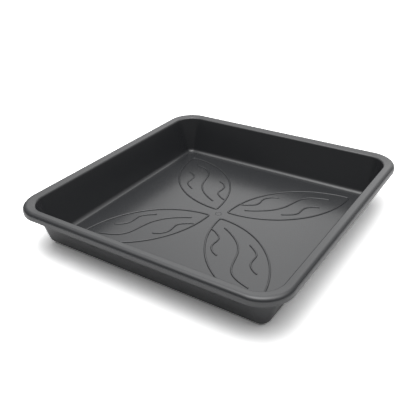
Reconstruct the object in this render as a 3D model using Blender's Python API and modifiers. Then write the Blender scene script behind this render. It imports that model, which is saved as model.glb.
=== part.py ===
"""Square plant saucer, moulded in one piece: a shallow tray with a rolled rim and a raised leaf rosette.

Metres, +Z up. The origin is on the ground, under the middle of the saucer, and its sides face X and Y.
The visible side of the moulding is one open surface, lofted through squares with round corners, and
Solidify gives it the wall. The foot band, the rosette's ribs and the mark in the middle are joined to
it with Boolean unions.
"""

import math

import bmesh
import bpy
from mathutils import Vector
from mathutils.geometry import interpolate_bezier

# The tray as a whole
OUTER_WIDTH = 0.400
HEIGHT = 0.063
WALL = 0.0026

# The rim, from its inner edge over the crown to the rolled lip
RIM_WIDTH = 0.0148
RIM_DROP = 0.002
LIP_RADIUS = 0.0055
LIP_DEPTH = 0.010
EDGE_INSIDE_ROUND = 0.0009

# The side walls, and the floor, which rises to its middle so that it doesn't sag under a wet pot
WALL_DRAFT = math.radians(16)
FLOOR_FILLET = 0.0075
FLOOR_CROWN = 0.0045

# The corners, which are tight at the floor and wide at the rim
CORNER_AT_FLOOR = 0.003
CORNER_AT_OPENING = 0.030
CORNER_AT_LIP = 0.041

# The foot band that the tray rests on
FOOT_HEIGHT = 0.001
FOOT_WIDTH = 0.012
FOOT_INSET = 0.008
FOOT_INSIDE_CORNER = 0.003

# The rosette: four leaves on the diagonals, drawn with rounded ribs
LEAF_INNER_GAP = 0.0135
LEAF_CORNER_GAP = 0.026
LEAF_HALF_WIDTH = 0.0395
LEAF_TIP_RADIUS = 0.003
RIB_WIDTH = 0.0032
OUTLINE_HEIGHT = 0.0012
VEIN_HEIGHT = 0.0011
RIB_SINK = 0.00025

# The round mark in the middle, where the plastic entered the mould
MARK_DIAMETER = 0.010
MARK_BEAD = 0.0012

# How finely the curves are cut into flats
CORNER_FLATS = 9
SECTION_TURN = math.radians(15)
FLOOR_CELLS = 11
OUTLINE_STEP = 0.011
VEIN_STEP = 0.005
RIB_SIDES = 8
MARK_FLATS = 24

# The veins of the leaf that points to +X -Y. Each point is a share of the leaf's length from its inner
# tip, and a share of its half width towards +Y. The near vein leaves the outline at a share of the length.
FAR_VEIN = [(0.39, 0.60), (0.45, 0.665), (0.495, 0.685), (0.528, 0.64)]
FAR_VEIN += [(0.56, 0.505), (0.59, 0.385), (0.625, 0.325), (0.675, 0.335), (0.72, 0.41)]
MIDDLE_VEIN = [(0.135, 0.0), (0.195, 0.10), (0.255, 0.165), (0.32, 0.205)]
MIDDLE_VEIN += [(0.385, 0.19), (0.45, 0.115), (0.515, -0.045), (0.575, -0.215)]
MIDDLE_VEIN += [(0.63, -0.325), (0.69, -0.345), (0.755, -0.25), (0.84, -0.03)]
NEAR_VEIN_START = 0.122
NEAR_VEIN = [(0.16, -0.38), (0.20, -0.335), (0.235, -0.31), (0.262, -0.34)]
NEAR_VEIN += [(0.286, -0.43), (0.318, -0.60), (0.352, -0.69), (0.405, -0.70), (0.456, -0.61)]

# Sizes that follow from those above
LIP_HALF = OUTER_WIDTH / 2
OPENING_HALF = LIP_HALF - RIM_WIDTH
OPENING_Z = HEIGHT - RIM_DROP
FLOOR_Z = FOOT_HEIGHT + WALL
FILLET_Z = FLOOR_Z + FLOOR_FILLET


def wall_half(z):
    """Half the width between the inner faces of two opposite side walls, at height z."""
    return OPENING_HALF + math.tan(WALL_DRAFT) * (z - OPENING_Z)


FLOOR_HALF = wall_half(FILLET_Z) - FLOOR_FILLET / math.cos(WALL_DRAFT)
WALL_CORNER = CORNER_AT_FLOOR + wall_half(FLOOR_Z) - FLOOR_HALF


def floor_crown(x, y):
    """How far the floor stands above its edge."""
    return FLOOR_CROWN * (1 - (x / FLOOR_HALF) ** 2) * (1 - (y / FLOOR_HALF) ** 2)


def corner_radius(half, z):
    """Radius of the round corners of the visible surface where it is this wide and this high."""
    if half > OPENING_HALF:
        growth = (CORNER_AT_LIP - CORNER_AT_OPENING) / (LIP_HALF - OPENING_HALF)
        return CORNER_AT_OPENING + growth * (half - OPENING_HALF)
    rise = (z - FLOOR_Z) / (OPENING_Z - FLOOR_Z)
    on_wall = WALL_CORNER + (CORNER_AT_OPENING - WALL_CORNER) * rise
    return on_wall - (wall_half(z) - half)


def arc(centre, radius, start, end):
    """Points of an arc in the section plane, with both ends."""
    flats = math.ceil(abs(end - start) / SECTION_TURN)
    angles = [start + (end - start) * step / flats for step in range(flats + 1)]
    return [(centre[0] + radius * math.cos(a), centre[1] + radius * math.sin(a)) for a in angles]


def rounded_bend(before, corner, after, radius):
    """Arc that rounds the bend of a section at a corner point."""
    corner = Vector(corner)
    back = (Vector(before) - corner).normalized()
    on = (Vector(after) - corner).normalized()
    half_angle = back.angle(on) / 2
    centre = corner + (back + on).normalized() * (radius / math.sin(half_angle))
    first = corner + back * (radius / math.tan(half_angle)) - centre
    turn = math.pi - 2 * half_angle
    start = math.atan2(first.y, first.x)
    return arc(centre, radius, start, start - turn)


def visible_section():
    """The visible side from the lip's lower edge, over the crown and down the wall, to the flat floor."""
    lip_centre = (LIP_HALF - LIP_RADIUS, HEIGHT - LIP_RADIUS)
    edge = (OPENING_HALF, OPENING_Z)
    to_lip = Vector(lip_centre) - Vector(edge)
    slope = math.atan2(to_lip.y, to_lip.x) + math.asin(LIP_RADIUS / to_lip.length)
    crown = math.pi / 2
    lip = arc(lip_centre, LIP_RADIUS, 0, crown) + arc(lip_centre, LIP_RADIUS, crown, crown + slope)[1:]
    fillet = arc((FLOOR_HALF, FILLET_Z), FLOOR_FILLET, -WALL_DRAFT, -math.pi / 2)
    inner_edge = rounded_bend(fillet[0], edge, lip[-1], WALL + EDGE_INSIDE_ROUND)
    return [(LIP_HALF, HEIGHT - LIP_DEPTH)] + lip + inner_edge[::-1] + fillet


def ring(bm, half, radius, z):
    """Vertices of a square with round corners."""
    middle = half - radius
    vertices = []
    for quarter in range(4):
        for step in range(CORNER_FLATS + 1):
            angle = math.radians(90) * (quarter + step / CORNER_FLATS)
            turn = math.radians(90) * quarter + math.radians(45)
            x = middle * math.sqrt(2) * math.cos(turn) + radius * math.cos(angle)
            y = middle * math.sqrt(2) * math.sin(turn) + radius * math.sin(angle)
            vertices.append(bm.verts.new((x, y, z)))
    return vertices


def bridge(bm, lower, upper):
    """Quads between two rings of as many vertices."""
    for here in range(len(lower)):
        after = (here + 1) % len(lower)
        bm.faces.new((lower[here], lower[after], upper[after], upper[here]))


def finished_mesh(bm, name):
    mesh = bpy.data.meshes.new(name)
    bmesh.ops.recalc_face_normals(bm, faces=bm.faces)
    bm.to_mesh(mesh)
    bm.free()
    return mesh


def on_flat_floor(vertices):
    return all(vertex.co.z < FLOOR_Z + WALL / 100 for vertex in vertices)


def raise_floor(bm):
    """Cuts the flat floor into cells, splits each cell across the leaf on it, and raises the crown."""
    for number in range(1, FLOOR_CELLS):
        place = FLOOR_HALF * (2 * number / FLOOR_CELLS - 1)
        for direction in (Vector((1, 0, 0)), Vector((0, 1, 0))):
            floor = [face for face in bm.faces if on_flat_floor(face.verts)]
            floor += [edge for edge in bm.edges if on_flat_floor(edge.verts)]
            floor += [vertex for vertex in bm.verts if on_flat_floor([vertex])]
            bmesh.ops.bisect_plane(bm, geom=floor, plane_co=direction * place, plane_no=direction)
    for face in [face for face in bm.faces if on_flat_floor(face.verts) and len(face.verts) == 4]:
        middle = face.calc_center_median()
        lean = 1 if middle.x * middle.y < 0 else -1
        ends = sorted(face.verts, key=lambda vertex: vertex.co.x + lean * vertex.co.y)
        bmesh.utils.face_split(face, ends[0], ends[-1])
    for vertex in [vertex for vertex in bm.verts if on_flat_floor([vertex])]:
        vertex.co.z += floor_crown(vertex.co.x, vertex.co.y)


def shell_mesh():
    """The visible side of the tray as an open surface, with its faces to the outside."""
    bm = bmesh.new()
    rings = [ring(bm, half, corner_radius(half, z), z) for half, z in visible_section()]
    for lower, upper in zip(rings, rings[1:]):
        bridge(bm, lower, upper)
    bm.faces.new(rings[-1])
    raise_floor(bm)
    bm.normal_update()
    mesh = bpy.data.meshes.new("saucer")
    bm.to_mesh(mesh)
    bm.free()
    return mesh


def foot_mesh():
    """The flat band under the floor, with its top sunk into the floor."""
    bm = bmesh.new()
    outer = FLOOR_HALF - FOOT_INSET
    inner = outer - FOOT_WIDTH
    outer_corner = FOOT_INSIDE_CORNER + FOOT_WIDTH
    top = FOOT_HEIGHT + WALL / 2 + floor_crown((outer + inner) / 2, 0)
    places = [(outer, outer_corner, top), (outer, outer_corner, 0)]
    places += [(inner, FOOT_INSIDE_CORNER, 0), (inner, FOOT_INSIDE_CORNER, top)]
    rings = [ring(bm, *place) for place in places]
    for lower, upper in zip(rings, rings[1:] + rings[:1]):
        bridge(bm, lower, upper)
    return finished_mesh(bm, "foot_band")


def leaf_line(points):
    """Points of the leaf's own frame, as metres along it and across it, laid on the crowned floor."""
    along = Vector((1, -1, 0)).normalized()
    across = Vector((1, 1, 0)).normalized()
    laid = [along * s + across * w for s, w in points]
    for point in laid:
        point.z = FLOOR_Z + floor_crown(point.x, point.y) - RIB_SINK
    return laid


def leaf_length():
    floor_corner = math.sqrt(2) * (FLOOR_HALF - CORNER_AT_FLOOR) + CORNER_AT_FLOOR
    return floor_corner - LEAF_CORNER_GAP - LEAF_INNER_GAP


def side_radius():
    """Radius of the two arcs that make a leaf's outline."""
    return (leaf_length() ** 2 / 4 + LEAF_HALF_WIDTH ** 2) / (2 * LEAF_HALF_WIDTH)


def side_reach(share):
    """Distance of either side from the leaf's middle line, at this share of the leaf's length."""
    from_middle = (share - 0.5) * leaf_length()
    return math.sqrt(side_radius() ** 2 - from_middle ** 2) - side_radius() + LEAF_HALF_WIDTH


def leaf_outline():
    """Both sides of the leaf as one closed line, clockwise, with its two tips rounded."""
    radius = side_radius()
    reach = math.asin(leaf_length() / 2 / radius)
    steps = math.ceil(2 * reach * radius / OUTLINE_STEP)
    far_side = []
    for step in range(steps + 1):
        angle = reach * (2 * step / steps - 1)
        along = LEAF_INNER_GAP + leaf_length() / 2 + radius * math.sin(angle)
        far_side.append((along, radius * math.cos(angle) - radius + LEAF_HALF_WIDTH))
    near_side = [(along, -across) for along, across in far_side[::-1]]
    inner_tip = rounded_bend(near_side[-2], far_side[0], far_side[1], LEAF_TIP_RADIUS)
    outer_tip = rounded_bend(far_side[-2], far_side[-1], near_side[1], LEAF_TIP_RADIUS)
    return leaf_line(inner_tip + far_side[1:-1] + outer_tip + near_side[1:-1])


def leaf_vein(shares):
    """A smooth line through points that are given as shares of the leaf."""
    chord = leaf_length()
    knots = leaf_line([(LEAF_INNER_GAP + s * chord, w * LEAF_HALF_WIDTH) for s, w in shares])
    ends = [2 * knots[0] - knots[1]] + knots + [2 * knots[-1] - knots[-2]]
    points = [knots[0]]
    for before, here, after, beyond in zip(ends, knots, knots[1:], ends[3:]):
        count = max(2, round((after - here).length / VEIN_STEP) + 1)
        leave = here + (after - before) / 6
        arrive = after - (beyond - here) / 6
        points += interpolate_bezier(here, leave, arrive, after, count)[1:]
    return points


def with_round_ends(points):
    """Pairs of a point and a share of the rib's size, so that an open rib ends in a half round."""
    radius = RIB_WIDTH / 2
    rows = [(point, 1.0) for point in points[1:-1]]
    for place, end, inward in ((0, points[0], points[1]), (len(rows), points[-1], points[-2])):
        towards = (inward - end).normalized()
        rounding = []
        for share in (0.06, 0.4, 1.0):
            size = math.sqrt(1 - (1 - share) ** 2)
            rounding.append((end + towards * radius * share, size))
        if place:
            rows += rounding[::-1]
        else:
            rows = rounding + rows
    return rows


def rib_section(name, height, collection):
    """The cross-section of a rib of this height: an ellipse whose middle lies a little under the floor."""
    above = height + RIB_SINK
    half_width = RIB_WIDTH / 2 / math.sqrt(1 - (RIB_SINK / above) ** 2)
    data = bpy.data.curves.new(name, "CURVE")
    data.dimensions = "2D"
    spline = data.splines.new("POLY")
    spline.points.add(RIB_SIDES - 1)
    for number, point in enumerate(spline.points):
        angle = math.tau * (number + 0.5) / RIB_SIDES
        point.co = (half_width * math.cos(angle), above * math.sin(angle), 0, 1)
    spline.use_cyclic_u = True
    section = bpy.data.objects.new(name, data)
    hide_tool(section, collection)
    return section


def hide_tool(obj, collection):
    collection.objects.link(obj)
    obj.hide_render = True
    obj.display_type = "WIRE"


def rib(name, rows, section, collection, closed=False):
    """One raised line of the rosette, as a closed mesh. A row is a point and a share of the rib's size."""
    data = bpy.data.curves.new(name, "CURVE")
    data.dimensions = "3D"
    data.twist_mode = "Z_UP"
    data.bevel_mode = "OBJECT"
    data.bevel_object = section
    data.use_fill_caps = True
    spline = data.splines.new("POLY")
    spline.points.add(len(rows) - 1)
    for point, (place, size) in zip(spline.points, rows):
        point.co = (*place, 1)
        point.radius = size
    spline.use_cyclic_u = closed
    curve = bpy.data.objects.new(name + "_curve", data)
    collection.objects.link(curve)
    bpy.context.view_layer.update()
    graph = bpy.context.evaluated_depsgraph_get()
    mesh = bpy.data.meshes.new_from_object(curve.evaluated_get(graph))
    bm = bmesh.new()
    bm.from_mesh(mesh)
    bmesh.ops.remove_doubles(bm, verts=bm.verts, dist=1e-6)
    bmesh.ops.recalc_face_normals(bm, faces=bm.faces)
    bm.to_mesh(mesh)
    bm.free()
    obj = bpy.data.objects.new(name, mesh)
    obj.matrix_world = curve.matrix_world.copy()
    bpy.data.objects.remove(curve)
    hide_tool(obj, collection)
    return obj


def join(target, other, name):
    """Boolean union, left as a modifier."""
    modifier = target.modifiers.new(name, "BOOLEAN")
    modifier.operation = "UNION"
    modifier.solver = "EXACT"
    modifier.object = other


def rosette(collection):
    """The ribs of one leaf joined to each other, and mirrored across both of the saucer's middles."""
    outline_section = rib_section("outline_section", OUTLINE_HEIGHT, collection)
    vein_section = rib_section("vein_section", VEIN_HEIGHT, collection)
    outline = [(point, 1.0) for point in leaf_outline()]
    leaves = rib("leaf_outlines", outline, outline_section, collection, closed=True)
    near_start = (NEAR_VEIN_START, -side_reach(NEAR_VEIN_START) / LEAF_HALF_WIDTH)
    veins = {"far_vein": FAR_VEIN, "middle_vein": MIDDLE_VEIN, "near_vein": [near_start] + NEAR_VEIN}
    for name, shares in veins.items():
        vein = rib(name, with_round_ends(leaf_vein(shares)), vein_section, collection)
        join(leaves, vein, name)
    mirror = leaves.modifiers.new("four_leaves", "MIRROR")
    mirror.use_axis = (True, True, False)
    mirror.merge_threshold = 0.0001
    return leaves


def centre_mark(collection):
    """A low round bead."""
    bpy.ops.mesh.primitive_torus_add(
        major_segments=MARK_FLATS,
        minor_segments=RIB_SIDES,
        major_radius=(MARK_DIAMETER - MARK_BEAD) / 2,
        minor_radius=MARK_BEAD / 2,
        location=(0, 0, FLOOR_Z + FLOOR_CROWN - RIB_SINK),
        rotation=(0, 0, math.pi / MARK_FLATS),
    )
    mark = bpy.context.object
    mark.name = "centre_mark"
    for owner in list(mark.users_collection):
        owner.objects.unlink(mark)
    hide_tool(mark, collection)
    return mark


def dark_plastic():
    material = bpy.data.materials.new("dark_plastic")
    material.use_nodes = True
    shader = material.node_tree.nodes["Principled BSDF"]
    shader.inputs["Base Color"].default_value = (0.024, 0.024, 0.025, 1)
    shader.inputs["Roughness"].default_value = 0.32
    shader.inputs["Metallic"].default_value = 0
    return material


def new_collection(name):
    collection = bpy.data.collections.new(name)
    bpy.context.scene.collection.children.link(collection)
    return collection


def main():
    for obj in list(bpy.data.objects):
        bpy.data.objects.remove(obj)
    parts = new_collection("square_plant_saucer")
    tools = new_collection("saucer_tools")
    saucer = bpy.data.objects.new("saucer", shell_mesh())
    parts.objects.link(saucer)
    saucer.data.materials.append(dark_plastic())
    saucer.data.shade_smooth()
    saucer.data.set_sharp_from_angle(angle=math.radians(30))
    wall = saucer.modifiers.new("wall", "SOLIDIFY")
    wall.thickness = WALL
    wall.offset = -1
    wall.use_even_offset = True
    foot = bpy.data.objects.new("foot_band", foot_mesh())
    hide_tool(foot, tools)
    join(saucer, foot, "foot_band")
    join(saucer, rosette(tools), "rosette")
    join(saucer, centre_mark(tools), "centre_mark")


main()
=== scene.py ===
# %% [markdown]
# # A square plant saucer in dark plastic
# The object is one injection moulding: a shallow square tray that catches water under a plant pot.
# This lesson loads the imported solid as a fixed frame, models a finer skin over it, gives the skin a
# satin plastic, and sets it on a white floor under soft studio light.

import math

import bmesh
import bpy
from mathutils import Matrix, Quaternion, Vector
from mathutils.geometry import interpolate_bezier


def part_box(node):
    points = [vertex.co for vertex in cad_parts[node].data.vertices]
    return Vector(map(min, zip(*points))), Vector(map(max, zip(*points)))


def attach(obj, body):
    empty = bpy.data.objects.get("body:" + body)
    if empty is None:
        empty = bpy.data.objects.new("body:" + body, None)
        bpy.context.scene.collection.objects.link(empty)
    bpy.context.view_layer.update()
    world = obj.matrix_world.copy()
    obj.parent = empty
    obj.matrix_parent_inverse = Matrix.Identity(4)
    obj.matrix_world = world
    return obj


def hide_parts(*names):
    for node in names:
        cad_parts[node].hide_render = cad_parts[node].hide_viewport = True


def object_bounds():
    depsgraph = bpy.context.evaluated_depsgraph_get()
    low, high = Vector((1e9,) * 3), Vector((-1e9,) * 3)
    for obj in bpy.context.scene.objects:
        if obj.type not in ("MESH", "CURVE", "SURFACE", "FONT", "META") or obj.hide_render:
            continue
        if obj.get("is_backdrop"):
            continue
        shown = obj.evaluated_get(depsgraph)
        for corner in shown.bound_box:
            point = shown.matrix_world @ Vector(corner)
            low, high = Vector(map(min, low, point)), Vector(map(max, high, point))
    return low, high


MM = 0.001

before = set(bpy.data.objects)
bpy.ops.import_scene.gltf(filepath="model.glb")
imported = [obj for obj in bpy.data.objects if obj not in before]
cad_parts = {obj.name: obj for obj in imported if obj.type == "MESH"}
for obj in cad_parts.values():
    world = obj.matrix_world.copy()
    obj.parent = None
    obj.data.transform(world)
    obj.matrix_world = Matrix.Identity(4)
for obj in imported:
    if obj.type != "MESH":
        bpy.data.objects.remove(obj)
cad_box = [list(corner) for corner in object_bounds()]
low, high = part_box("saucer")
print("saucer, mm:", [round(size / MM, 1) for size in high - low])

# %% [markdown]
# ## The camera
# A photograph's viewpoint is easiest to state the way a photographer would: how far round the object
# the camera stands, how high it looks from, how far away it is, and its lens. The picture was cropped
# a little off centre and the camera was held a little crooked, so there is a small shift and a small
# roll too.

# %% Camera
AZIMUTH = math.radians(33.56)
ELEVATION = math.radians(31.65)
ROLL = math.radians(-1.74)
DISTANCE = 0.8144
towards_camera = Vector((
    math.sin(AZIMUTH) * math.cos(ELEVATION),
    -math.cos(AZIMUTH) * math.cos(ELEVATION),
    math.sin(ELEVATION),
))

camera_data = bpy.data.cameras.new("camera")
camera_data.sensor_width = 36
camera_data.lens = 47.54
camera_data.shift_x = -0.0205
camera_data.shift_y = 0.0212
camera = bpy.data.objects.new("camera", camera_data)
camera.location = towards_camera * DISTANCE
camera.rotation_mode = "QUATERNION"
roll = Quaternion((0, 0, 1), ROLL)
camera.rotation_quaternion = (-towards_camera).to_track_quat("-Z", "Y") @ roll
bpy.context.scene.collection.objects.link(camera)
bpy.context.scene.camera = camera
print("camera stands at, mm:", [round(c / MM) for c in camera.location])

# %% [markdown]
# ## The section of the moulding
# Everything but the rosette follows one section, from the lip's lower edge over the crown, down the
# wall and onto the floor. It could be traced as a curve by eye, but a maker draws it with a few lines
# and arcs, and so it is computed here. The overall width and height come from the frame, so that the
# skin keeps to the solid's size. The arcs are cut finely, because their highlights show every flat.

# %% Sizes of the section
WALL = 2.6 * MM
RIM_WIDTH = 14.8 * MM
RIM_DROP = 2 * MM
LIP_RADIUS = 5.5 * MM
LIP_DEPTH = 10 * MM
EDGE_ROUND = WALL + 0.9 * MM
WALL_DRAFT = math.radians(16)
FLOOR_FILLET = 7.5 * MM
FLOOR_CROWN = 4.5 * MM
FOOT_HEIGHT = 1 * MM
SECTION_TURN = math.radians(5)

lip_half = high.x
height = high.z
opening_half = lip_half - RIM_WIDTH
opening_z = height - RIM_DROP
floor_z = FOOT_HEIGHT + WALL
fillet_z = floor_z + FLOOR_FILLET


def wall_half(z):
    return opening_half + math.tan(WALL_DRAFT) * (z - opening_z)


floor_half = wall_half(fillet_z) - FLOOR_FILLET / math.cos(WALL_DRAFT)
print("floor, mm across:", round(2 * floor_half / MM, 1))

# %% Lines and arcs of the section


def arc(centre, radius, start, end):
    flats = math.ceil(abs(end - start) / SECTION_TURN)
    angles = [start + (end - start) * step / flats for step in range(flats + 1)]
    return [(centre[0] + radius * math.cos(a), centre[1] + radius * math.sin(a)) for a in angles]


def rounded_bend(before, corner, after, radius):
    corner = Vector(corner)
    back = (Vector(before) - corner).normalized()
    on = (Vector(after) - corner).normalized()
    half_angle = back.angle(on) / 2
    centre = corner + (back + on).normalized() * (radius / math.sin(half_angle))
    first = corner + back * (radius / math.tan(half_angle)) - centre
    start = math.atan2(first.y, first.x)
    return arc(centre, radius, start, start - (math.pi - 2 * half_angle))


lip_centre = Vector((lip_half - LIP_RADIUS, height - LIP_RADIUS))
opening_edge = Vector((opening_half, opening_z))
to_lip = lip_centre - opening_edge
slope = math.atan2(to_lip.y, to_lip.x) + math.asin(LIP_RADIUS / to_lip.length)
crown = math.pi / 2
lip = arc(lip_centre, LIP_RADIUS, 0, crown) + arc(lip_centre, LIP_RADIUS, crown, crown + slope)[1:]
fillet = arc((floor_half, fillet_z), FLOOR_FILLET, -WALL_DRAFT, -math.pi / 2)
inner_edge = rounded_bend(fillet[0], opening_edge, lip[-1], EDGE_ROUND)
FLOOR_MARGIN = 0.4 * MM
section = [(lip_half, height - LIP_DEPTH), *lip, *inner_edge[::-1], *fillet]
section.append((floor_half - FLOOR_MARGIN, floor_z))
print("points in the section:", len(section))

# %% [markdown]
# ## Round corners that grow towards the rim
# The floor's corners are tight and the rim's are wide, so the section can't simply be revolved or
# extruded. Each point of the section becomes a ring, a square with round corners, with its own corner
# radius, and quads bridge the rings.

# %% Corner radii and rings
CORNER_AT_FLOOR = 3 * MM
CORNER_AT_OPENING = 30 * MM
CORNER_AT_LIP = 41 * MM
CORNER_FLATS = 30
wall_corner = CORNER_AT_FLOOR + wall_half(floor_z) - floor_half
print("corner radius where the wall would meet the floor, mm:", round(wall_corner / MM, 1))


def corner_radius(half, z):
    if half > opening_half:
        growth = (CORNER_AT_LIP - CORNER_AT_OPENING) / (lip_half - opening_half)
        return CORNER_AT_OPENING + growth * (half - opening_half)
    rise = (z - floor_z) / (opening_z - floor_z)
    on_wall = wall_corner + (CORNER_AT_OPENING - wall_corner) * rise
    return on_wall - (wall_half(z) - half)


def ring(bm, half, radius, z):
    vertices = []
    for quarter in range(4):
        turn = math.radians(90) * quarter + math.radians(45)
        corner = Vector((math.cos(turn), math.sin(turn))) * (half - radius) * math.sqrt(2)
        for step in range(CORNER_FLATS + 1):
            angle = math.radians(90) * (quarter + step / CORNER_FLATS)
            x = corner.x + radius * math.cos(angle)
            y = corner.y + radius * math.sin(angle)
            vertices.append(bm.verts.new((x, y, z)))
    return vertices


def bridge(bm, lower, upper):
    for here in range(len(lower)):
        after = (here + 1) % len(lower)
        bm.faces.new((lower[here], lower[after], upper[after], upper[here]))


# %% Rings and the flat floor
bm = bmesh.new()
rings = [ring(bm, half, corner_radius(half, z), z) for half, z in section]
for lower, upper in zip(rings, rings[1:]):
    bridge(bm, lower, upper)
bm.faces.new(rings[-1])
print("faces of the rings:", len(bm.faces))

# %% [markdown]
# ## A floor that stands a little proud in the middle
# A wide flat moulding sags, so its floor is crowned by a few millimetres. The floor is cut into cells,
# and every vertex rises by a share of the crown that falls off to the sides like a parabola. A formula
# is used and not a soft brush, because the ribs have to lie on the same crown later.

# %% Crown of the floor
FLOOR_CELLS = 25
FLATNESS = WALL / 100


def floor_crown(x, y):
    return FLOOR_CROWN * (1 - (x / floor_half) ** 2) * (1 - (y / floor_half) ** 2)


def on_flat_floor(vertices):
    return all(vertex.co.z < floor_z + FLATNESS for vertex in vertices)


for number in range(1, FLOOR_CELLS):
    cut = floor_half * (2 * number / FLOOR_CELLS - 1)
    for axis in (Vector((1, 0, 0)), Vector((0, 1, 0))):
        floor = [face for face in bm.faces if on_flat_floor(face.verts)]
        floor += [edge for edge in bm.edges if on_flat_floor(edge.verts)]
        floor += [vertex for vertex in bm.verts if on_flat_floor([vertex])]
        bmesh.ops.bisect_plane(bm, geom=floor, plane_co=axis * cut, plane_no=axis)
cell_area = (2 * floor_half / FLOOR_CELLS) ** 2
cells = [face for face in bm.faces if on_flat_floor(face.verts) and face.calc_area() > cell_area / 2]
for face in [face for face in cells if len(face.verts) == 4]:
    middle = face.calc_center_median()
    lean = 1 if middle.x * middle.y < 0 else -1
    ends = sorted(face.verts, key=lambda vertex: vertex.co.x + lean * vertex.co.y)
    bmesh.utils.face_split(face, ends[0], ends[-1])
for vertex in [vertex for vertex in bm.verts if on_flat_floor([vertex])]:
    vertex.co.z += floor_crown(vertex.co.x, vertex.co.y)
print("crown, mm:", round(floor_crown(0, 0) / MM, 2))

# %% The open surface
bm.normal_update()
skin_mesh = bpy.data.meshes.new("saucer_skin")
bm.to_mesh(skin_mesh)
bm.free()
skin = bpy.data.objects.new("saucer_skin", skin_mesh)
bpy.context.scene.collection.objects.link(skin)
print("faces of the open surface:", len(skin_mesh.polygons))

# %% [markdown]
# ## One wall thickness
# A moulding cools evenly only where its wall is even, so Solidify is the right tool: it offsets the
# visible side inwards by the wall. A small bevel then takes the sharpness off the lip's cut edge.

# %% Wall and lip edge
LIP_EDGE_ROUND = 1.1 * MM
wall = skin.modifiers.new("wall", "SOLIDIFY")
wall.thickness = WALL
wall.offset = -1
wall.use_even_offset = True
lip_edge = skin.modifiers.new("lip_edge", "BEVEL")
lip_edge.width = LIP_EDGE_ROUND
lip_edge.segments = 4
lip_edge.limit_method = "ANGLE"
lip_edge.angle_limit = math.radians(60)
print("wall, mm:", round(WALL / MM, 1))

# %% [markdown]
# ## The foot band
# Underneath, the saucer stands on a flat band a millimetre proud of the floor, so that it doesn't rock.
# The band could be extruded from the underside, but rings like those of the tray give it the same round
# corners with one more call.

# %% Foot band
FOOT_WIDTH = 12 * MM
FOOT_INSET = 8 * MM
FOOT_INSIDE_CORNER = 3 * MM


def hidden_tool(name, mesh):
    tool = bpy.data.objects.new(name, mesh)
    bpy.context.scene.collection.objects.link(tool)
    return tool


foot_outer = floor_half - FOOT_INSET
foot_inner = foot_outer - FOOT_WIDTH
foot_top = FOOT_HEIGHT + WALL / 2 + floor_crown((foot_outer + foot_inner) / 2, 0)
bm = bmesh.new()
rings = []
for half, z in ((foot_outer, foot_top), (foot_outer, 0), (foot_inner, 0), (foot_inner, foot_top)):
    rings.append(ring(bm, half, FOOT_INSIDE_CORNER + half - foot_inner, z))
for lower, upper in zip(rings, rings[1:] + rings[:1]):
    bridge(bm, lower, upper)
bmesh.ops.recalc_face_normals(bm, faces=bm.faces)
foot_mesh = bpy.data.meshes.new("foot_band")
bm.to_mesh(foot_mesh)
bm.free()
foot = hidden_tool("foot_band", foot_mesh)
print("foot band, mm across:", round(2 * foot_outer / MM, 1))

# %% [markdown]
# ## The rosette's lines
# Four leaves lie on the diagonals. A leaf's outline is two arcs that meet at its tips, as a pair of
# compasses draws them. Its three veins wave freely, so they run through a few points, given as shares
# of the leaf's length and half width, joined by Bezier curves whose handles follow the neighbouring
# points.

# %% Leaf sides and veins
LEAF_INNER_GAP = 13.5 * MM
LEAF_CORNER_GAP = 26 * MM
LEAF_HALF_WIDTH = 39.5 * MM
LEAF_TIP_RADIUS = 3 * MM
SIDE_STEP = 4 * MM
VEIN_STEP = 1.2 * MM
RIB_SINK = 0.25 * MM
FAR_VEIN = [(0.39, 0.60), (0.45, 0.665), (0.495, 0.685), (0.528, 0.64)]
FAR_VEIN += [(0.56, 0.505), (0.59, 0.385), (0.625, 0.325), (0.675, 0.335), (0.72, 0.41)]
MIDDLE_VEIN = [(0.135, 0.0), (0.195, 0.10), (0.255, 0.165), (0.32, 0.205)]
MIDDLE_VEIN += [(0.385, 0.19), (0.45, 0.115), (0.515, -0.045), (0.575, -0.215)]
MIDDLE_VEIN += [(0.63, -0.325), (0.69, -0.345), (0.755, -0.25), (0.84, -0.03)]
NEAR_VEIN_START = 0.122
NEAR_VEIN = [(0.16, -0.38), (0.20, -0.335), (0.235, -0.31), (0.262, -0.34)]
NEAR_VEIN += [(0.286, -0.43), (0.318, -0.60), (0.352, -0.69), (0.405, -0.70), (0.456, -0.61)]

floor_corner = math.sqrt(2) * (floor_half - CORNER_AT_FLOOR) + CORNER_AT_FLOOR
leaf_length = floor_corner - LEAF_CORNER_GAP - LEAF_INNER_GAP
along = Vector((1, -1, 0)).normalized()
across = Vector((1, 1, 0)).normalized()
side_radius = (leaf_length ** 2 / 4 + LEAF_HALF_WIDTH ** 2) / (2 * LEAF_HALF_WIDTH)
print("leaf, mm long:", round(leaf_length / MM, 1))


def leaf_line(points):
    laid = [along * s + across * w for s, w in points]
    for point in laid:
        point.z = floor_z + floor_crown(point.x, point.y) - RIB_SINK
    return laid


def leaf_outline():
    reach = math.asin(leaf_length / 2 / side_radius)
    steps = math.ceil(2 * reach * side_radius / SIDE_STEP)
    far_side = []
    for step in range(steps + 1):
        angle = reach * (2 * step / steps - 1)
        s = LEAF_INNER_GAP + leaf_length / 2 + side_radius * math.sin(angle)
        far_side.append((s, side_radius * math.cos(angle) - side_radius + LEAF_HALF_WIDTH))
    near_side = [(s, -w) for s, w in far_side[::-1]]
    inner_tip = rounded_bend(near_side[-2], far_side[0], far_side[1], LEAF_TIP_RADIUS)
    outer_tip = rounded_bend(far_side[-2], far_side[-1], near_side[1], LEAF_TIP_RADIUS)
    return leaf_line(inner_tip + far_side[1:-1] + outer_tip + near_side[1:-1])


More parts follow.
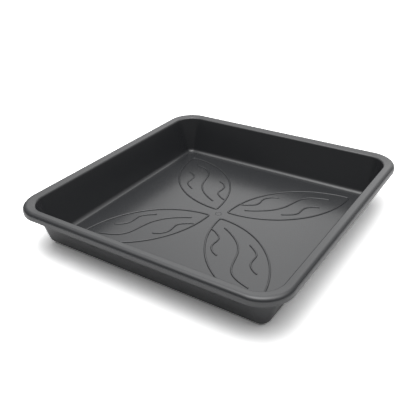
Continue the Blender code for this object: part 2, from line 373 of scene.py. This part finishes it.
def leaf_vein(shares):
    knots = leaf_line([(LEAF_INNER_GAP + s * leaf_length, w * LEAF_HALF_WIDTH) for s, w in shares])
    ends = [2 * knots[0] - knots[1]] + knots + [2 * knots[-1] - knots[-2]]
    points = [knots[0]]
    for before, here, after, beyond in zip(ends, knots, knots[1:], ends[3:]):
        count = max(2, round((after - here).length / VEIN_STEP) + 1)
        leave = here + (after - before) / 6
        arrive = after - (beyond - here) / 6
        points += interpolate_bezier(here, leave, arrive, after, count)[1:]
    return points


# %% Where the near vein leaves the outline
from_middle = (NEAR_VEIN_START - 0.5) * leaf_length
start_reach = math.sqrt(side_radius ** 2 - from_middle ** 2) - side_radius + LEAF_HALF_WIDTH
NEAR_VEIN = [(NEAR_VEIN_START, -start_reach / LEAF_HALF_WIDTH)] + NEAR_VEIN
print("near vein starts, mm from the middle line:", round(start_reach / MM, 1))

# %% [markdown]
# ## Ribs with round ends
# Each line is a raised rib with a half-round top. A curve with a bevel object sweeps the cross-section
# along the line and keeps it upright in every bend, and the point radius shrinks it to a half round at
# both ends.

# %% Cross-section of a rib
RIB_WIDTH = 2.8 * MM
OUTLINE_HEIGHT = 1.3 * MM
VEIN_HEIGHT = 1.25 * MM
RIB_SIDES = 24


def rib_section(name, height):
    above = height + RIB_SINK
    half_width = RIB_WIDTH / 2 / math.sqrt(1 - (RIB_SINK / above) ** 2)
    data = bpy.data.curves.new(name, "CURVE")
    spline = data.splines.new("POLY")
    spline.points.add(RIB_SIDES - 1)
    for number, point in enumerate(spline.points):
        angle = math.tau * (number + 0.5) / RIB_SIDES
        point.co = (half_width * math.cos(angle), above * math.sin(angle), 0, 1)
    spline.use_cyclic_u = True
    return hidden_tool(name, data)


outline_section = rib_section("outline_section", OUTLINE_HEIGHT)
vein_section = rib_section("vein_section", VEIN_HEIGHT)
print("rib, mm wide:", round(RIB_WIDTH / MM, 1))

# %% Sweep a rib
END_STEPS = 6
END_CLEARANCE = 1.15
SMALLEST_SECTION = 0.12
RIB_WELD = 1e-6


def with_round_ends(points):
    radius = RIB_WIDTH / 2
    core = []
    for point in points:
        to_end = min((point - points[0]).length, (point - points[-1]).length)
        if to_end > END_CLEARANCE * radius:
            core.append(point)
    rows = [(point, 1.0) for point in core]
    for end, inward, at_start in ((points[0], core[0], True), (points[-1], core[-1], False)):
        inwards = (inward - end).normalized()
        rounding = []
        for step in range(1, END_STEPS + 1):
            angle = math.radians(90) * step / END_STEPS
            size = max(SMALLEST_SECTION, math.sin(angle))
            rounding.append((end + inwards * radius * (1 - math.cos(angle)), size))
        rows = rounding + rows if at_start else rows + rounding[::-1]
    return rows


def rib(name, rows, section, closed=False):
    data = bpy.data.curves.new(name, "CURVE")
    data.dimensions = "3D"
    data.twist_mode = "Z_UP"
    data.bevel_mode = "OBJECT"
    data.bevel_object = section
    data.use_fill_caps = True
    spline = data.splines.new("POLY")
    spline.points.add(len(rows) - 1)
    for point, (place, size) in zip(spline.points, rows):
        point.co = (*place, 1)
        point.radius = size
    spline.use_cyclic_u = closed
    curve = hidden_tool(name + "_curve", data)
    bpy.context.view_layer.update()
    graph = bpy.context.evaluated_depsgraph_get()
    mesh = bpy.data.meshes.new_from_object(curve.evaluated_get(graph))
    bm = bmesh.new()
    bm.from_mesh(mesh)
    bmesh.ops.remove_doubles(bm, verts=bm.verts, dist=RIB_WELD)
    bmesh.ops.recalc_face_normals(bm, faces=bm.faces)
    bm.to_mesh(mesh)
    bm.free()
    bpy.data.objects.remove(curve)
    return hidden_tool(name, mesh)


# %% The ribs of one leaf
leaves = rib("leaf_outlines", [(point, 1.0) for point in leaf_outline()], outline_section, closed=True)
veins = []
for name, shares in (("far_vein", FAR_VEIN), ("middle_vein", MIDDLE_VEIN), ("near_vein", NEAR_VEIN)):
    veins.append(rib(name, with_round_ends(leaf_vein(shares)), vein_section))
print("ribs of a leaf:", [obj.name for obj in (leaves, *veins)])

# %% [markdown]
# ## Joining
# The ribs of one leaf are joined, mirrored across both middles of the saucer, and joined to the floor
# with exact Booleans, so that the skin is one closed surface like the moulding. The round mark in the
# middle, where the plastic flowed into the mould, is a torus sunk into the floor.


# %% Join ribs, foot band and centre mark
def join(target, other):
    modifier = target.modifiers.new(other.name, "BOOLEAN")
    modifier.operation = "UNION"
    modifier.solver = "EXACT"
    modifier.object = other


def apply_all(obj):
    bpy.context.view_layer.update()
    graph = bpy.context.evaluated_depsgraph_get()
    mesh = bpy.data.meshes.new_from_object(obj.evaluated_get(graph))
    obj.modifiers.clear()
    obj.data = mesh


MARK_DIAMETER = 10 * MM
MARK_BEAD = 1.2 * MM
MARK_FLATS = 64
MIRROR_WELD = 0.00001
bpy.ops.mesh.primitive_torus_add(
    major_segments=MARK_FLATS,
    minor_segments=16,
    major_radius=(MARK_DIAMETER - MARK_BEAD) / 2,
    minor_radius=MARK_BEAD / 2,
    location=(0, 0, floor_z + FLOOR_CROWN - RIB_SINK),
    rotation=(0, 0, math.pi / MARK_FLATS),
)
mark = bpy.context.object
mark.name = "centre_mark"
for vein in veins:
    join(leaves, vein)
mirror = leaves.modifiers.new("four_leaves", "MIRROR")
mirror.use_axis = (True, True, False)
mirror.merge_threshold = MIRROR_WELD
apply_all(leaves)
for tool in (foot, leaves, mark):
    join(skin, tool)
apply_all(skin)
for tool in (foot, mark, leaves, *veins, outline_section, vein_section):
    bpy.data.objects.remove(tool)
print("faces of the skin:", len(skin.data.polygons))

# %% [markdown]
# ## Smooth shading
# The arcs should look round and the big flats flat. Smooth shading with sharp edges kept, and normals
# weighted by face area, does both.

# %% Shading
SHARP_ANGLE = math.radians(35)
skin.data.shade_smooth()
skin.data.set_sharp_from_angle(angle=SHARP_ANGLE)
weighted = skin.modifiers.new("weighted_normals", "WEIGHTED_NORMAL")
weighted.keep_sharp = True
weighted.weight = 50
print("edges turned more than this stay sharp, degrees:", round(math.degrees(SHARP_ANGLE)))

# %% [markdown]
# ## Satin plastic
# The plastic is nearly black and satin, with a skin that mirrors a little more than common plastic
# does. Large soft reflections do most of the work, so the roughness matters more than the colour.
# Noise varies the roughness a little, and a finer one roughens the surface very slightly, as a moulded
# surface does.

# %% Plastic material
plastic = bpy.data.materials.new("dark_plastic")
plastic.use_nodes = True
nodes = plastic.node_tree.nodes
links = plastic.node_tree.links
shader = nodes["Principled BSDF"]
shader.inputs["Base Color"].default_value = (0.032, 0.0335, 0.0365, 1)
shader.inputs["IOR"].default_value = 1.74

place = nodes.new("ShaderNodeTexCoord")
mottle = nodes.new("ShaderNodeTexNoise")
mottle.inputs["Scale"].default_value = 25
mottle.inputs["Detail"].default_value = 4
links.new(place.outputs["Object"], mottle.inputs["Vector"])
satin = nodes.new("ShaderNodeMapRange")
satin.inputs["To Min"].default_value = 0.22
satin.inputs["To Max"].default_value = 0.29
links.new(mottle.outputs["Fac"], satin.inputs["Value"])
links.new(satin.outputs["Result"], shader.inputs["Roughness"])

grain = nodes.new("ShaderNodeTexNoise")
grain.inputs["Scale"].default_value = 900
grain.inputs["Detail"].default_value = 2
links.new(place.outputs["Object"], grain.inputs["Vector"])
relief = nodes.new("ShaderNodeBump")
relief.inputs["Distance"].default_value = 0.02 * MM
relief.inputs["Strength"].default_value = 0.3
links.new(grain.outputs["Fac"], relief.inputs["Height"])
links.new(relief.outputs["Normal"], shader.inputs["Normal"])
skin.data.materials.clear()
skin.data.materials.append(plastic)
print("nodes of the plastic:", len(nodes))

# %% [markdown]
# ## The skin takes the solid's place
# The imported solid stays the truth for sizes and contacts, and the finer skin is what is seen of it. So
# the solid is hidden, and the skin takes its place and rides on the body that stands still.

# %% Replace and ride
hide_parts("saucer")
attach(skin, "root")
print("the skin replaces:", "saucer")

# %% [markdown]
# ## A white floor
# A white floor throws light back up at the saucer and keeps its shadow. Light Path gives three kinds of
# ray their own look at it: light that bounces meets an ordinary white, the plastic mirrors a slightly
# lighter one, and the camera sees a brighter one, so that the paper comes out pure white wherever no
# shadow falls.

# %% Floor
FLOOR_SIZE = 8
FLOOR_COLOUR = 0.84
FLOOR_SEEN = 1.8
FLOOR_MIRRORED = 0.9
floor_bm = bmesh.new()
bmesh.ops.create_grid(floor_bm, x_segments=1, y_segments=1, size=FLOOR_SIZE / 2)
floor_mesh = bpy.data.meshes.new("studio_floor")
floor_bm.to_mesh(floor_mesh)
floor_bm.free()
studio_floor = bpy.data.objects.new("studio_floor", floor_mesh)
bpy.context.scene.collection.objects.link(studio_floor)
white = bpy.data.materials.new("white_sweep")
white.use_nodes = True
floor_nodes = white.node_tree.nodes
floor_links = white.node_tree.links
floor_nodes.remove(floor_nodes["Principled BSDF"])
paper = floor_nodes.new("ShaderNodeBsdfDiffuse")
rays = floor_nodes.new("ShaderNodeLightPath")
mirrored = floor_nodes.new("ShaderNodeMapRange")
mirrored.inputs["To Min"].default_value = FLOOR_COLOUR
mirrored.inputs["To Max"].default_value = FLOOR_MIRRORED
floor_links.new(rays.outputs["Is Glossy Ray"], mirrored.inputs["Value"])
seen = floor_nodes.new("ShaderNodeMapRange")
seen.inputs["To Max"].default_value = FLOOR_SEEN
floor_links.new(rays.outputs["Is Camera Ray"], seen.inputs["Value"])
floor_links.new(mirrored.outputs["Result"], seen.inputs["To Min"])
floor_links.new(seen.outputs["Result"], paper.inputs["Color"])
floor_links.new(paper.outputs["BSDF"], floor_nodes["Material Output"].inputs["Surface"])
studio_floor.data.materials.append(white)
studio_floor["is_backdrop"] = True
print("floor, m:", FLOOR_SIZE)

# %% [markdown]
# ## Light from a sky of soft lamps
# The brightest lamp hangs overhead. A smaller one stands high on the camera's right, one behind the
# saucer, and a faint wide one near the horizon behind it, and the room between them is dim. Area lamps
# would do, but their edges show in a glossy rim, so each lamp is a round patch of the sky that fades
# smoothly. The camera itself sees plain white.

# %% Sky
ROOM = 0.13
world = bpy.data.worlds.new("studio")
bpy.context.scene.world = world
world.use_nodes = True
sky_nodes = world.node_tree.nodes
sky_links = world.node_tree.links
background = sky_nodes["Background"]
background.inputs["Color"].default_value = (1, 1, 1, 1)
outlook = sky_nodes.new("ShaderNodeTexCoord")


def towards(elevation, turn):
    flat = math.cos(math.radians(elevation))
    upright = math.sin(math.radians(elevation))
    heading = AZIMUTH + math.radians(turn)
    return Vector((-math.sin(heading) * flat, math.cos(heading) * flat, upright))


# Name, elevation, turn to the left of straight behind, radiance and tightness of each lamp
LAMPS = [
    ("overhead", 84, 80, 3.9, 10),
    ("right", 58, -108, 1.1, 14),
    ("behind", 35, -5, 1.1, 9),
    ("horizon", 5, -30, 0.6, 5),
]


def soft_lamp(name, elevation, turn, radiance, tightness, so_far):
    facing = sky_nodes.new("ShaderNodeVectorMath")
    facing.name = name
    facing.operation = "DOT_PRODUCT"
    facing.inputs[1].default_value = towards(elevation, turn)
    sky_links.new(outlook.outputs["Generated"], facing.inputs[0])
    falling = sky_nodes.new("ShaderNodeMath")
    falling.operation = "MULTIPLY_ADD"
    falling.inputs[1].default_value = tightness
    falling.inputs[2].default_value = -tightness
    sky_links.new(facing.outputs["Value"], falling.inputs[0])
    patch = sky_nodes.new("ShaderNodeMath")
    patch.operation = "EXPONENT"
    sky_links.new(falling.outputs[0], patch.inputs[0])
    total = sky_nodes.new("ShaderNodeMath")
    total.operation = "MULTIPLY_ADD"
    total.inputs[1].default_value = radiance
    sky_links.new(patch.outputs[0], total.inputs[0])
    sky_links.new(so_far, total.inputs[2])
    return total.outputs[0]


room = sky_nodes.new("ShaderNodeValue")
room.outputs[0].default_value = ROOM
sky = room.outputs[0]
for lamp in LAMPS:
    sky = soft_lamp(*lamp, sky)
world_rays = sky_nodes.new("ShaderNodeLightPath")
# Sockets 2 and 3 of a Mix node are A and B where it mixes plain numbers
level = sky_nodes.new("ShaderNodeMix")
level.inputs[3].default_value = 1
sky_links.new(world_rays.outputs["Is Camera Ray"], level.inputs[0])
sky_links.new(sky, level.inputs[2])
sky_links.new(level.outputs[0], background.inputs["Strength"])
print("soft lamps:", [lamp[0] for lamp in LAMPS])

# %% Colour management and finish
bpy.context.scene.view_settings.view_transform = "Standard"
visual_box = [list(corner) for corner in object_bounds()]
gaps = [abs(a - b) for cad, visual in zip(cad_box, visual_box) for a, b in zip(cad, visual)]
print("largest difference of the boxes, mm:", round(max(gaps) / MM, 3))
